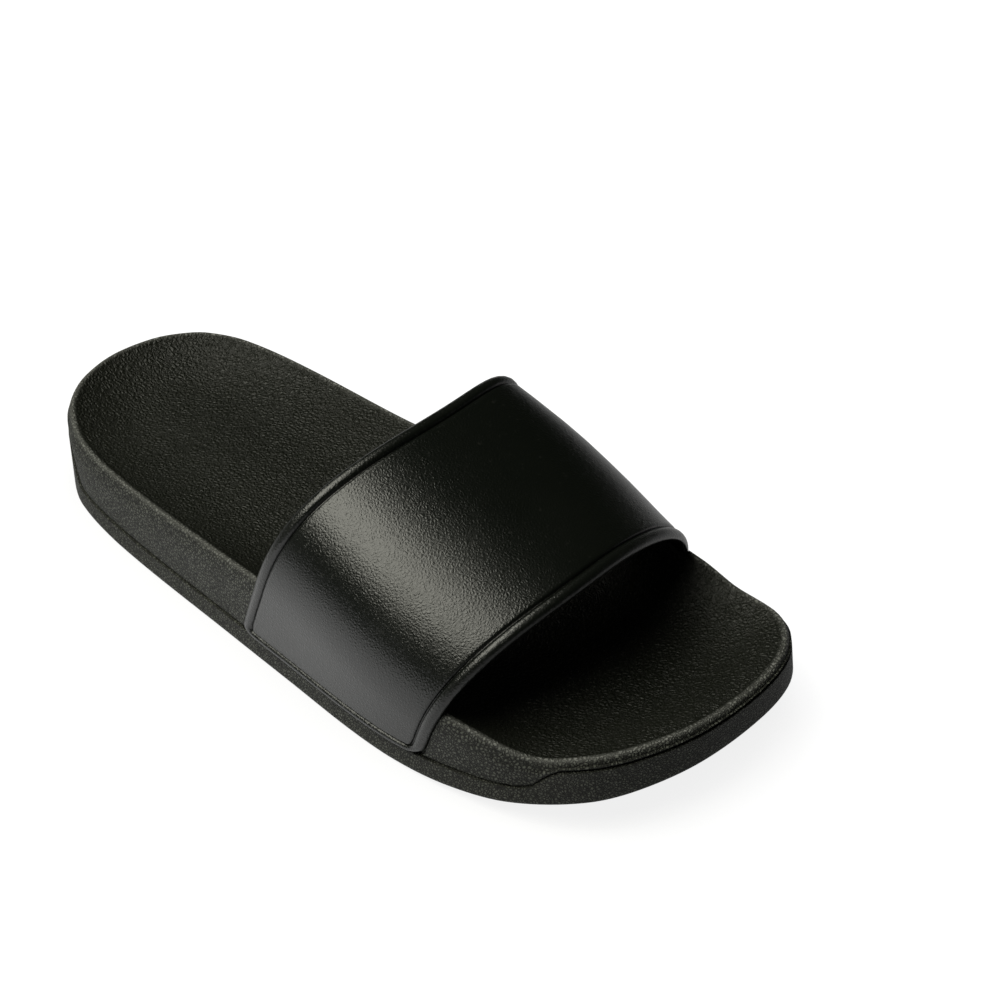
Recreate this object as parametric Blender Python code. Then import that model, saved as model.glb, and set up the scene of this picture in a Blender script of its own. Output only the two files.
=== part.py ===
"""Sport slide sandal for the right foot, in metres: +Y to the toe, +X to the outer side, +Z up."""

import math
from bisect import bisect_right
from collections import namedtuple
from functools import lru_cache

import bmesh
import bpy
from mathutils import Matrix, Vector

# Overall sizes of the sole
LENGTH = 0.280              # heel to toe, along the outline
BALL_WIDTH = 0.110          # across the ball of the foot
HEEL_HEIGHT = 0.031         # rim above the floor at the heel
TOE_SPRING = 0.0169         # rise of the tread at the toe tip
HEEL_LIFT = 0.0010          # rise of the tread at the heel tip
SPRING_START = 0.68         # share of the length where the toe spring begins
TOE_STEP_END = 0.905        # share of the length where the toe bumper is at full height
LIFT_END = 0.10             # share of the length where the heel lift ends

# Outsole
SEAT_HEIGHT = 0.0055        # top of the tread layer inside its lip
PARTING_HEIGHT = 0.0066     # outsole's side height along the middle of the shoe
HEEL_BUMPER = 0.0215        # outsole's side height behind the heel
TOE_BUMPER = 0.0125         # outsole's side height where the toe bumper begins
TOE_TIP_BUMPER = 0.0103     # outsole's side height at the toe tip
LIP_WALL = 0.0035           # thickness of the outsole's raised lip
OUTSOLE_FLARE = 0.0006      # how far the outsole's upper edge stands outside the outline
TREAD_FLARE = 0.0017        # how far the tread's edge stands outside the outline
HEEL_FLARE = 0.0006         # the same at the heel tip
HEEL_FLARE_END = 0.20       # share of the length where the heel's flare has grown to the full one
TREAD_ROUND = 0.0012        # rounding of the tread's edge
PARTING_ROUND = 0.0004      # rounding on both sides of the parting groove

# Midsole
RIM_INSET = 0.0019          # ridge of the rim lip, inside the outline
WALL_BULGE = 0.0003         # how far the side wall swells at half height
LIP_ROUND = 0.0030          # height of the rim lip's rounding
LIP_SLOPE = 0.0038          # inset where the lip turns into the footbed
LIP_DROP = 0.0007           # how far the lip falls before the footbed begins
BED_RINGS = (0.0025, 0.0060, 0.0100)    # rings of the footbed's side slope, inside the lip

# Strap
STRAP_WALL = 0.0028         # wall of the strap
STRAP_PROUD = 0.0016        # how far the strap stands outside the outline
EDGE_BEAD = 0.0046          # width of the bead along the back and front edges
FOOT_BEAD = 0.0028          # width of the bead along the lower edges
BEAD_HEIGHT = 0.00045       # how far the bead stands above the strap's surface
GROOVE_DEPTH = 0.0008       # depth of the groove inside the bead
CORNER_RADIUS = 0.0075      # rounding of the strap's lower corners
CROWN_BACK = 0.0768         # top of the strap's back edge above the floor
CROWN_FRONT = 0.0578        # top of the strap's front edge above the floor

# Clearances
SEAT_GAP = 0.0003           # between pieces that meet
FOOT_LIFT = 0.0005          # strap's lower edge above the outsole's ledge
RECESS_DROP = 0.0015        # how far the strap's recess runs out below its foot

# Mesh density
SIDE_STEPS = 50             # outline segments on each side, heel tip to toe tip
GIRTH_STEPS = 34            # strap segments along the arch, between the beads
WIDTH_STEPS = 6             # strap segments from bead to bead

HALF_WIDTH = BALL_WIDTH / 2

# The sole's outline: half widths as shares of half the ball width
Outline = namedtuple("Outline", "along lateral medial")
OUTLINE = (
    Outline(0.010, 0.275, 0.300),
    Outline(0.029, 0.458, 0.480),
    Outline(0.054, 0.592, 0.614),
    Outline(0.107, 0.738, 0.736),
    Outline(0.214, 0.836, 0.803),
    Outline(0.429, 0.925, 0.842),
    Outline(0.536, 0.966, 0.904),
    Outline(0.643, 1.007, 0.982),
    Outline(0.714, 1.009, 0.996),
    Outline(0.786, 0.974, 0.990),
    Outline(0.857, 0.884, 1.002),
    Outline(0.929, 0.673, 0.960),
    Outline(0.964, 0.453, 0.862),
    Outline(0.991, 0.120, 0.640),
)
TOE_TIP = -0.316            # toe tip, as a share of half the ball width

# The rim's height on each side, as shares of the heel height
Rim = namedtuple("Rim", "along lateral medial")
RIM = (
    Rim(0.00, 1.000, 1.000),
    Rim(0.15, 0.888, 0.974),
    Rim(0.35, 0.935, 0.948),
    Rim(0.60, 1.026, 1.035),
    Rim(0.75, 0.926, 1.071),
    Rim(0.82, 0.835, 0.974),
    Rim(0.88, 0.742, 0.855),
    Rim(0.94, 0.868, 0.908),
    Rim(1.00, 0.955, 0.955),
)

# The outsole's side height above its own tread, as shares of the way from the
# parting height to the heel bumper and to the toe bumper
Step = namedtuple("Step", "along heel toe")
STEPS = (
    Step(0.000, 1.00, 0.00),
    Step(0.045, 0.95, 0.00),
    Step(0.075, 0.45, 0.00),
    Step(0.105, 0.00, 0.00),
    Step(0.780, 0.00, 0.00),
    Step(0.862, 0.00, -0.15),
    Step(0.878, 0.00, 0.03),
    Step(0.890, 0.00, 0.62),
    Step(TOE_STEP_END, 0.00, 1.00),
    Step(1.000, 0.00, 1.00),
)

# The footbed: middle height as a share of the heel height, and how far the
# side slopes reach inwards, as shares of half the ball width
Bed = namedtuple("Bed", "along middle lateral medial")
FOOTBED = (
    Bed(0.00, 0.760, 0.44, 0.44),
    Bed(0.12, 0.740, 0.44, 0.46),
    Bed(0.35, 0.790, 0.42, 0.74),
    Bed(0.50, 0.750, 0.42, 0.76),
    Bed(0.68, 0.600, 0.38, 0.50),
    Bed(0.80, 0.590, 0.36, 0.44),
    Bed(0.92, 0.710, 0.40, 0.42),
    Bed(1.00, 0.900, 0.40, 0.40),
)

# The strap's two edges, on the outer side (1) and the inner side (-1). Places of
# foot and crown are shares of the length, the crown's shift is a share of half
# the ball width, and the spring line is a share of the crown's height. The power
# shapes the arch, and the sweep leads the edge forwards from foot to crown
Side = namedtuple("Side", "foot crown shift spring power sweep")
BACK_EDGE = {
    1: Side(foot=0.447, crown=0.557, shift=-0.265, spring=0.388, power=2.70, sweep=1.05),
    -1: Side(foot=0.482, crown=0.557, shift=-0.265, spring=0.388, power=3.80, sweep=0.80),
}
FRONT_EDGE = {
    1: Side(foot=0.750, crown=0.827, shift=0.030, spring=0.350, power=2.15, sweep=1.20),
    -1: Side(foot=0.762, crown=0.827, shift=0.030, spring=0.350, power=2.05, sweep=0.45),
}

# The bead's profile from the strap's edge inwards: distance as a share of the
# bead's width, rise as a share of the bead's height and fall of the groove's
Bead = namedtuple("Bead", "inwards rise fall wall")
BEAD = (
    Bead(0.00, 0.0, 0.0, 0.50),
    Bead(0.10, 0.0, 0.0, 0.14),
    Bead(0.33, 1.0, 0.0, 0.00),
    Bead(0.68, 1.0, 0.0, 0.00),
    Bead(0.88, 0.0, 0.1, 0.00),
    Bead(1.00, 0.0, 1.0, 0.00),
    Bead(1.14, 0.0, 0.2, 0.00),
    Bead(1.36, 0.0, 0.0, 0.00),
)


def mix(low, high, share):
    return low + (high - low) * share


def table_value(rows, column, along):
    """Smooth curve through a table's column that doesn't swing past its rows."""
    knots = [row.along for row in rows]
    values = [getattr(row, column) for row in rows]
    along = min(max(along, knots[0]), knots[-1])
    slopes = [(values[i + 1] - values[i]) / (knots[i + 1] - knots[i]) for i in range(len(knots) - 1)]

    def tangent(index):
        if index == 0 or index == len(knots) - 1:
            return 0.0
        before = slopes[index - 1]
        after = slopes[index]
        if before * after <= 0:
            return 0.0
        return 2 * before * after / (before + after)

    span = max(i for i in range(len(slopes)) if knots[i] <= along)
    width = knots[span + 1] - knots[span]
    t = (along - knots[span]) / width
    return (
        values[span] * (1 + 2 * t) * (1 - t) ** 2
        + values[span + 1] * (3 - 2 * t) * t ** 2
        + tangent(span) * width * t * (1 - t) ** 2
        - tangent(span + 1) * width * (1 - t) * t ** 2
    )


def closed_curve(points, steps):
    """Dense closed curve through points, with tangents set by the chords."""
    count = len(points)
    chord = [(points[(i + 1) % count] - points[i]).length for i in range(count)]

    def tangent(i):
        return (points[(i + 1) % count] - points[i - 1]) / (chord[i] + chord[i - 1])

    curve = []
    for i in range(count):
        start = points[i]
        end = points[(i + 1) % count]
        leave = tangent(i) * chord[i]
        arrive = tangent((i + 1) % count) * chord[i]
        for step in range(steps):
            t = step / steps
            curve.append(
                start * ((1 + 2 * t) * (1 - t) ** 2)
                + end * ((3 - 2 * t) * t ** 2)
                + leave * (t * (1 - t) ** 2)
                - arrive * ((1 - t) * t ** 2)
            )
    return curve


def even_points(curve, count):
    """Points at even distances along an open run, without its last point."""
    runs = [0.0]
    for start, end in zip(curve, curve[1:]):
        runs.append(runs[-1] + (end - start).length)
    points = []
    span = 0
    for step in range(count):
        target = runs[-1] * step / count
        while runs[span + 1] < target:
            span += 1
        share = (target - runs[span]) / (runs[span + 1] - runs[span])
        points.append(curve[span].lerp(curve[span + 1], share))
    return points


def make_outline():
    """Outline points and outward directions: heel tip, outer side, toe tip, inner side."""
    corners = [Vector((0.0, 0.0))]
    corners += [Vector((row.lateral * HALF_WIDTH, row.along * LENGTH)) for row in OUTLINE]
    corners += [Vector((TOE_TIP * HALF_WIDTH, LENGTH))]
    corners += [Vector((-row.medial * HALF_WIDTH, row.along * LENGTH)) for row in reversed(OUTLINE)]
    steps_per_span = 24
    curve = closed_curve(corners, steps_per_span)
    toe = (len(OUTLINE) + 1) * steps_per_span
    points = even_points(curve[:toe + 1], SIDE_STEPS)
    points += even_points(curve[toe:] + curve[:1], SIDE_STEPS)
    outwards = []
    for i in range(len(points)):
        along = points[(i + 1) % len(points)] - points[i - 1]
        outwards.append(Vector((along.y, -along.x)).normalized())
    return points, outwards


POINTS, OUTWARDS = make_outline()
RING_COUNT = len(POINTS)


def column_at(index):
    """Name of the side's column for an outline point."""
    return "lateral" if index <= SIDE_STEPS else "medial"


def share_at(index):
    return POINTS[index].y / LENGTH


def tread(y):
    """Height of the tread: flat under heel and ball, sprung at the toe."""
    share = y / LENGTH
    spring = max(share - SPRING_START, 0.0) / (1 - SPRING_START)
    lift = max(LIFT_END - share, 0.0) / LIFT_END
    return TOE_SPRING * spring ** 2 + HEEL_LIFT * lift ** 2


def rim(index):
    return HEEL_HEIGHT * table_value(RIM, column_at(index), share_at(index))


def parting(share):
    """Height of the outsole's side above the tread."""
    heel = table_value(STEPS, "heel", share)
    toe = table_value(STEPS, "toe", share)
    fade = max(share - TOE_STEP_END, 0.0) / (1 - TOE_STEP_END)
    bumper = mix(TOE_BUMPER, TOE_TIP_BUMPER, fade ** 2)
    return PARTING_HEIGHT + heel * (HEEL_BUMPER - PARTING_HEIGHT) + toe * (bumper - PARTING_HEIGHT)


def inset_point(index, inset):
    return POINTS[index] - OUTWARDS[index] * inset


def ring(inset, height):
    """Closed ring at an inset, with its height worked out for each point."""
    points = []
    for index in range(RING_COUNT):
        flat = inset_point(index, inset)
        points.append(Vector((flat.x, flat.y, height(index, flat.y))))
    return points


def edge_ring(inwards, rise):
    """Ring on the tread's rounded edge, inwards from its widest line."""
    points = []
    for index in range(RING_COUNT):
        flare = mix(HEEL_FLARE, TREAD_FLARE, min(share_at(index) / HEEL_FLARE_END, 1.0))
        flat = inset_point(index, inwards - flare)
        points.append(Vector((flat.x, flat.y, tread(flat.y) + rise)))
    return points


def parting_ring(inset, rise):
    return ring(inset, lambda index, y: tread(y) + parting(share_at(index)) + rise)


def tread_ring(inset, rise):
    return ring(inset, lambda index, y: tread(y) + rise)


def bed_height(point, index, inset):
    """Height of the footbed at an inset from an outline point."""
    reach = HALF_WIDTH * table_value(FOOTBED, column_at(index), share_at(index))
    slope = max(1 - max(inset - LIP_SLOPE, 0.0) / reach, 0.0) ** 2
    middle = HEEL_HEIGHT * table_value(FOOTBED, "middle", point.y / LENGTH)
    return mix(middle, rim(index) - LIP_DROP, slope)


def bed_point_height(point):
    """Height of the footbed at any place inside the outline."""
    flat = Vector((point.x, point.y))
    nearest = min(range(RING_COUNT), key=lambda index: (POINTS[index] - flat).length)
    return bed_height(point, nearest, (POINTS[nearest] - flat).length)


def bed_ring(inset):
    return ring(inset, lambda index, y: bed_height(inset_point(index, inset), index, inset))


def wall_low(index, y):
    """Lower edge of the midsole's side wall, above the parting groove."""
    return tread(y) + parting(share_at(index)) + SEAT_GAP + PARTING_ROUND


def lip_height(index, y):
    """Height of the lip's rounding, at most half of a low wall."""
    return min(LIP_ROUND, (rim(index) - wall_low(index, y)) / 2)


def wall_ring(inset, share):
    """Ring on the midsole's side wall, between its lower edge and the lip."""
    return ring(inset, lambda index, y: mix(wall_low(index, y), rim(index) - lip_height(index, y), share))


def rim_ring(inset, drop):
    """Ring on the rim lip, dropped by a share of the lip's rounding."""
    return ring(inset, lambda index, y: rim(index) - drop * lip_height(index, y))


def add_ring(bm, points):
    return [bm.verts.new(point) for point in points]


def join_rings(bm, lower, upper):
    count = len(lower)
    for i in range(count):
        after = (i + 1) % count
        bm.faces.new((lower[i], lower[after], upper[after], upper[i]))


def close_ring(bm, verts, columns, height):
    """Fill a ring with a patch: heel end, outer side, toe end and inner side."""
    half = columns // 2
    rows_count = SIDE_STEPS - 2 * half
    heel = [verts[half - column] for column in range(columns + 1)]
    toe = [verts[SIDE_STEPS - half + column] for column in range(columns + 1)]
    rows = [heel]
    for row in range(1, rows_count):
        down = row / rows_count
        outer = verts[half + row]
        inner = verts[-half - row]
        line = [outer]
        for column in range(1, columns):
            over = column / columns
            place = outer.co.lerp(inner.co, over) + heel[column].co.lerp(toe[column].co, down)
            place -= heel[0].co.lerp(heel[-1].co, over).lerp(toe[0].co.lerp(toe[-1].co, over), down)
            place.z = height(place)
            line.append(bm.verts.new(place))
        line.append(inner)
        rows.append(line)
    rows.append(toe)
    for before, after in zip(rows, rows[1:]):
        for column in range(columns):
            bm.faces.new((before[column], before[column + 1], after[column + 1], after[column]))


def make_material(name, colour, roughness):
    material = bpy.data.materials.new(name)
    material.use_nodes = True
    shader = material.node_tree.nodes["Principled BSDF"]
    shader.inputs["Base Color"].default_value = (*colour, 1.0)
    shader.inputs["Roughness"].default_value = roughness
    shader.inputs["Metallic"].default_value = 0.0
    return material


def make_object(name, bm, material):
    bmesh.ops.recalc_face_normals(bm, faces=bm.faces)
    mesh = bpy.data.meshes.new(name)
    bm.to_mesh(mesh)
    bm.free()
    mesh.materials.append(material)
    mesh.shade_smooth()
    mesh.set_sharp_from_angle(angle=math.radians(40))
    piece = bpy.data.objects.new(name, mesh)
    bpy.context.collection.objects.link(piece)
    return piece


def loft(rings):
    """Rings joined one to the next in a new bmesh, with their vertices."""
    bm = bmesh.new()
    loops = [add_ring(bm, points) for points in rings]
    for lower, upper in zip(loops, loops[1:]):
        join_rings(bm, lower, upper)
    return bm, loops


def make_outsole(material):
    """Tread layer with a side ledge, a toe bumper, a heel bumper and a seat for the midsole."""
    bm, loops = loft((
        edge_ring(TREAD_ROUND, 0.0),
        edge_ring(TREAD_ROUND * 0.3, TREAD_ROUND * 0.25),
        edge_ring(0.0, TREAD_ROUND),
        parting_ring(-OUTSOLE_FLARE, -PARTING_ROUND * 1.5),
        parting_ring(-OUTSOLE_FLARE * 0.5, -PARTING_ROUND * 0.3),
        parting_ring(PARTING_ROUND, 0.0),
        parting_ring(LIP_WALL, 0.0),
        tread_ring(LIP_WALL + PARTING_ROUND, SEAT_HEIGHT),
    ))
    columns = 4
    close_ring(bm, loops[0], columns, lambda place: tread(place.y))
    close_ring(bm, loops[-1], columns, lambda place: tread(place.y) + SEAT_HEIGHT)
    return make_object("outsole", bm, material)


def make_midsole(material):
    """Side wall, rounded rim lip and cupped footbed, seated inside the outsole's lip."""
    bm, loops = loft((
        tread_ring(LIP_WALL + PARTING_ROUND + SEAT_GAP, SEAT_HEIGHT + SEAT_GAP),
        parting_ring(LIP_WALL + SEAT_GAP, SEAT_GAP),
        parting_ring(PARTING_ROUND * 1.5, SEAT_GAP),
        wall_ring(0.0, 0.0),
        wall_ring(-WALL_BULGE, 0.5),
        wall_ring(RIM_INSET * 0.2, 1.0),
        rim_ring(RIM_INSET * 0.5, 0.35),
        rim_ring(RIM_INSET, 0.0),
        rim_ring((RIM_INSET + LIP_SLOPE) / 2, 0.04),
        bed_ring(LIP_SLOPE),
        *[bed_ring(LIP_SLOPE + inwards) for inwards in BED_RINGS],
    ))
    seat_columns = 4
    bed_columns = 8
    close_ring(bm, loops[0], seat_columns, lambda place: tread(place.y) + SEAT_HEIGHT + SEAT_GAP)
    close_ring(bm, loops[-1], bed_columns, bed_point_height)
    return make_object("midsole", bm, material)


def side_run(side):
    """Outline points of one side by their place along the shoe, without the turned-in tips."""
    points = POINTS[1:SIDE_STEPS] if side > 0 else POINTS[:SIDE_STEPS:-1]
    return [point.y for point in points], [point.x for point in points]


SIDE_RUNS = {side: side_run(side) for side in (1, -1)}


def side_reach(y, side):
    """Place of the strap's outer surface beside the sole."""
    places, reaches = SIDE_RUNS[side]
    above = min(max(bisect_right(places, y), 1), len(places) - 1)
    share = (y - places[above - 1]) / (places[above] - places[above - 1])
    return mix(reaches[above - 1], reaches[above], share) + side * STRAP_PROUD


def side_between(across, side):
    """Values of a strap section between the back edge and the front edge."""
    return Side(*[mix(back, front, across) for back, front in zip(BACK_EDGE[side], FRONT_EDGE[side])])


def half_section(across, side):
    """Half of a strap section: girth run, sideways share and height, foot to crown."""
    shape = side_between(across, side)
    crown = mix(CROWN_BACK, CROWN_FRONT, across)
    foot_y = LENGTH * shape.foot
    foot = tread(foot_y) + parting(shape.foot) + FOOT_LIFT
    spring = crown * shape.spring
    reach = abs(side_reach(foot_y, side) - shape.shift * HALF_WIDTH)
    straight_steps = 4
    arch_steps = 48
    places = [(1.0, mix(foot, spring, i / straight_steps)) for i in range(straight_steps)]
    for i in range(arch_steps + 1):
        angle = math.pi / 2 * i / arch_steps
        sideways = max(math.cos(angle), 0.0) ** (2 / shape.power)
        upwards = math.sin(angle) ** (2 / shape.power)
        places.append((sideways, mix(spring, crown, upwards)))
    run = 0.0
    rows = [(run, *places[0])]
    for before, after in zip(places, places[1:]):
        run += math.hypot((after[0] - before[0]) * reach, after[1] - before[1])
        rows.append((run, *after))
    return rows


@lru_cache(maxsize=None)
def section(across, side):
    return half_section(across, side)


@lru_cache(maxsize=None)
def girth(across):
    return section(across, 1)[-1][0] + section(across, -1)[-1][0]


def strap_point(run, across):
    """Point of the strap's outer surface, a run along its girth from the outer foot."""
    side = 1 if run <= section(across, 1)[-1][0] else -1
    rows = section(across, side)
    from_foot = run if side > 0 else girth(across) - run
    shape = side_between(across, side)
    span = 0
    while span < len(rows) - 2 and rows[span + 1][0] < from_foot:
        span += 1
    below, above = rows[span], rows[span + 1]
    share = (from_foot - below[0]) / (above[0] - below[0])
    sideways = min(mix(below[1], above[1], share), 1.0)
    height = mix(below[2], above[2], share)
    rise = min(max(from_foot / rows[-1][0], 0.0), 1.0)
    y = LENGTH * mix(shape.foot, shape.crown, math.sin(math.pi / 2 * rise) ** shape.sweep)
    shift = shape.shift * HALF_WIDTH
    return Vector((shift + (side_reach(y, side) - shift) * sideways, y, height))


def strap_normal(run, across):
    """Outward direction of the strap's surface."""
    step = 0.0008
    along = strap_point(run + step, across) - strap_point(run - step, across)
    share = 0.01
    over = strap_point(run, across + share) - strap_point(run, across - share)
    return over.cross(along).normalized()


def strap_width(run_share):
    """Width of the strap from back edge to front edge at a share of its girth."""
    back = strap_point(run_share * girth(0.0), 0.0)
    front = strap_point(run_share * girth(1.0), 1.0)
    return (front - back).length


def bead_stations(bead_width, total, steps):
    """Distances across a band: through one bead, evenly over, through the other."""
    near = [row.inwards * bead_width for row in BEAD]
    open_band = total - 2 * near[-1]
    middle = [near[-1] + open_band * i / steps for i in range(1, steps)]
    return near + middle + [total - distance for distance in reversed(near)]


def bead_row(index, count):
    return min(index, count - 1 - index, len(BEAD) - 1)


def round_corner(inwards, upwards):
    """Turn a corner's square grid into a round one. Both are distances from the edges."""
    left = CORNER_RADIUS - inwards
    down = CORNER_RADIUS - upwards
    if left <= 0 or down <= 0:
        return inwards, upwards
    scale = max(left, down) / math.hypot(left, down)
    return CORNER_RADIUS - left * scale, CORNER_RADIUS - down * scale


def strap_grid(outer, beaded):
    """Rows of points over the strap's outer or inner surface."""
    rows_count = 2 * len(BEAD) + GIRTH_STEPS - 1
    columns_count = 2 * len(BEAD) + WIDTH_STEPS - 1
    foot_scale = EDGE_BEAD / FOOT_BEAD
    mean_total = girth(0.5) * foot_scale
    widths = [strap_width(run / mean_total) for run in bead_stations(EDGE_BEAD, mean_total, GIRTH_STEPS)]
    columns_over = [bead_stations(EDGE_BEAD, width, WIDTH_STEPS) for width in widths]
    totals = [girth(columns_over[0][column] / widths[0]) * foot_scale for column in range(columns_count)]
    runs = [bead_stations(EDGE_BEAD, total, GIRTH_STEPS) for total in totals]
    grid = []
    for row in range(rows_count):
        line = []
        for column in range(columns_count):
            total = totals[column]
            width = widths[row]
            run, inwards = round_corners(runs[column][row], total, columns_over[row][column], width)
            across = inwards / width
            run = run / total * girth(across)
            station = BEAD[min(bead_row(row, rows_count), bead_row(column, columns_count))]
            line.append(strap_point(run, across) + strap_normal(run, across) * wall_lift(station, outer, beaded))
        grid.append(line)
    return grid


def round_corners(run, total, inwards, width):
    """Turn the square grid of the nearest corner into a round one."""
    from_side, from_foot = round_corner(min(inwards, width - inwards), min(run, total - run))
    return (
        from_foot if run <= total / 2 else total - from_foot,
        from_side if inwards <= width / 2 else width - from_side,
    )


def wall_lift(station, outer, beaded):
    """Distance of the outer or inner surface from the strap's middle form."""
    if not outer:
        return -STRAP_WALL * (1 - station.wall)
    relief = station.rise * BEAD_HEIGHT - station.fall * GROOVE_DEPTH if beaded else 0.0
    return relief - station.wall * STRAP_WALL


def strap_shell(beaded):
    """Closed shell of the strap and its rows of outer vertices."""
    outer = strap_grid(True, beaded)
    inner = strap_grid(False, beaded)
    bm = bmesh.new()
    outer_verts = [[bm.verts.new(point) for point in line] for line in outer]
    inner_verts = []
    last_row = len(outer) - 1
    last_column = len(outer[0]) - 1
    for row, line in enumerate(inner):
        verts = []
        for column, point in enumerate(line):
            on_edge = row in (0, last_row) or column in (0, last_column)
            verts.append(outer_verts[row][column] if on_edge else bm.verts.new(point))
        inner_verts.append(verts)
    for verts in (outer_verts, inner_verts):
        for row in range(last_row):
            for column in range(last_column):
                corners = (
                    verts[row][column],
                    verts[row + 1][column],
                    verts[row + 1][column + 1],
                    verts[row][column + 1],
                )
                bm.faces.new(corners)
    bmesh.ops.recalc_face_normals(bm, faces=bm.faces)
    return bm, outer_verts, inner_verts


def make_strap(material):
    """One hollow arch over the instep, with beads along its edges."""
    bm, outer_verts, inner_verts = strap_shell(True)
    return make_object("strap", bm, material)


def make_recess_cutter(material):
    """The strap grown by the seat gap, its feet dropped below the midsole's lower edge."""
    bm, outer_verts, inner_verts = strap_shell(False)
    bm.normal_update()
    moves = [(vert, vert.normal * SEAT_GAP) for vert in bm.verts]
    for vert, move in moves:
        vert.co += move
    clear_of_corner = len(BEAD)
    foot_rows = (0, 1, 2, -1, -2, -3)
    dropped = set()
    for verts in (outer_verts, inner_verts):
        for row in foot_rows:
            dropped.update(verts[row][clear_of_corner:-clear_of_corner])
    for vert in dropped:
        vert.co.z -= RECESS_DROP
    cutter = make_object("recess_cutter", bm, material)
    cutter.hide_render = True
    cutter.display_type = "WIRE"
    return cutter


def cut_recess(piece, cutter):
    cut = piece.modifiers.new("strap_recess", "BOOLEAN")
    cut.operation = "DIFFERENCE"
    cut.solver = "EXACT"
    cut.object = cutter


def centre_on_origin(pieces, guides):
    """Move every mesh so that the shoe stands on the origin, with its box's middle above it."""
    corners = [vert.co for piece in pieces for vert in piece.data.vertices]
    low = Vector([min(corner[axis] for corner in corners) for axis in range(3)])
    high = Vector([max(corner[axis] for corner in corners) for axis in range(3)])
    middle = (low + high) / 2
    for piece in pieces + guides:
        piece.data.transform(Matrix.Translation((-middle.x, -middle.y, -low.z)))


def clear_scene():
    for item in list(bpy.data.objects):
        bpy.data.objects.remove(item)


def main():
    clear_scene()
    black_rubber = make_material("black_rubber", (0.018, 0.019, 0.018), 0.62)
    black_foam = make_material("black_foam", (0.020, 0.021, 0.020), 0.66)
    black_band = make_material("black_band", (0.016, 0.018, 0.017), 0.42)
    outsole = make_outsole(black_rubber)
    midsole = make_midsole(black_foam)
    strap = make_strap(black_band)
    cutter = make_recess_cutter(black_band)
    cut_recess(midsole, cutter)
    centre_on_origin((outsole, midsole, strap), (cutter,))


main()
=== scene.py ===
# Sport slide sandal for the right foot: toe to +Y, outer side to +X, standing on Z = 0.
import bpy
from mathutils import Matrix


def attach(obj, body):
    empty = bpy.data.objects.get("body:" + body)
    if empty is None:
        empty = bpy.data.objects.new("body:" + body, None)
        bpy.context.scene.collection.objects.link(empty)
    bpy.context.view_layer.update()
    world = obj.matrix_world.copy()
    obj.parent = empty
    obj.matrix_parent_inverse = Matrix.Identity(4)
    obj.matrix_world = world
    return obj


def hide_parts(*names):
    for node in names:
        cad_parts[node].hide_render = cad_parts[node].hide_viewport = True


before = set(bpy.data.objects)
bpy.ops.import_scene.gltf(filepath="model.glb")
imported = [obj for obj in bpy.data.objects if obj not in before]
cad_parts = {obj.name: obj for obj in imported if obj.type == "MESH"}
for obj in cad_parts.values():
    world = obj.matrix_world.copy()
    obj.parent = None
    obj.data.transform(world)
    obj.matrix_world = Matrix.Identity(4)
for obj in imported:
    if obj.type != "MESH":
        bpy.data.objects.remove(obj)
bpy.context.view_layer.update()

import math
from bisect import bisect_right
from functools import lru_cache

import bmesh
import bpy
from mathutils import Vector, kdtree

print("frame loaded:", ", ".join(sorted(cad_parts)))

# The sole's form, shared by outsole, midsole and strap. Lengths in metres, "along"
# runs from heel tip 0 to toe tip 1.
sole = {
    "length": 0.280,
    "halfWidth": 0.055,
    "middle": (-0.0005, -0.1405),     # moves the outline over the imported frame
    "heelHeight": 0.031,
    "toeSpring": 0.0169,
    "springStart": 0.68,
    "heelLift": 0.0010,
    "liftEnd": 0.10,
    "sideSteps": 132,                  # ring segments on each side
    "toeTip": -0.316,
    # along, outer half width, inner half width
    "outline": (
        (0.010, 0.275, 0.300), (0.029, 0.458, 0.480), (0.054, 0.592, 0.614), (0.107, 0.738, 0.736),
        (0.214, 0.836, 0.803), (0.429, 0.925, 0.842), (0.536, 0.966, 0.904), (0.643, 1.007, 0.982),
        (0.714, 1.009, 0.996), (0.786, 0.974, 0.990), (0.857, 0.884, 1.002), (0.929, 0.673, 0.960),
        (0.964, 0.453, 0.862), (0.991, 0.120, 0.640),
    ),
    # along, outer rim height, inner rim height
    "rim": (
        (0.00, 1.000, 1.000), (0.15, 0.888, 0.974), (0.35, 0.935, 0.948), (0.60, 1.026, 1.035),
        (0.75, 0.926, 1.071), (0.82, 0.835, 0.974), (0.88, 0.742, 0.855), (0.94, 0.868, 0.908),
        (1.00, 0.955, 0.955),
    ),
}


def mix(low, high, share):
    return low + (high - low) * share


def curveAt(rows, column, along):
    # smooth run through one column of a table that never swings past its rows
    knots = [row[0] for row in rows]
    values = [row[column] for row in rows]
    along = min(max(along, knots[0]), knots[-1])
    slopes = [(values[i + 1] - values[i]) / (knots[i + 1] - knots[i]) for i in range(len(knots) - 1)]

    def tangent(i):
        if i in (0, len(knots) - 1) or slopes[i - 1] * slopes[i] <= 0:
            return 0.0
        return 2 * slopes[i - 1] * slopes[i] / (slopes[i - 1] + slopes[i])

    span = min(max(bisect_right(knots, along), 1), len(slopes)) - 1
    width = knots[span + 1] - knots[span]
    t = (along - knots[span]) / width
    return (
        values[span] * (1 + 2 * t) * (1 - t) ** 2
        + values[span + 1] * (3 - 2 * t) * t ** 2
        + tangent(span) * width * t * (1 - t) ** 2
        - tangent(span + 1) * width * (1 - t) * t ** 2
    )


def outlineCorners():
    rows = sole["outline"]
    corners = [Vector((0.0, 0.0))]
    corners += [Vector((row[1] * sole["halfWidth"], row[0] * sole["length"])) for row in rows]
    corners += [Vector((sole["toeTip"] * sole["halfWidth"], sole["length"]))]
    corners += [Vector((-row[2] * sole["halfWidth"], row[0] * sole["length"])) for row in reversed(rows)]
    return corners


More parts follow.
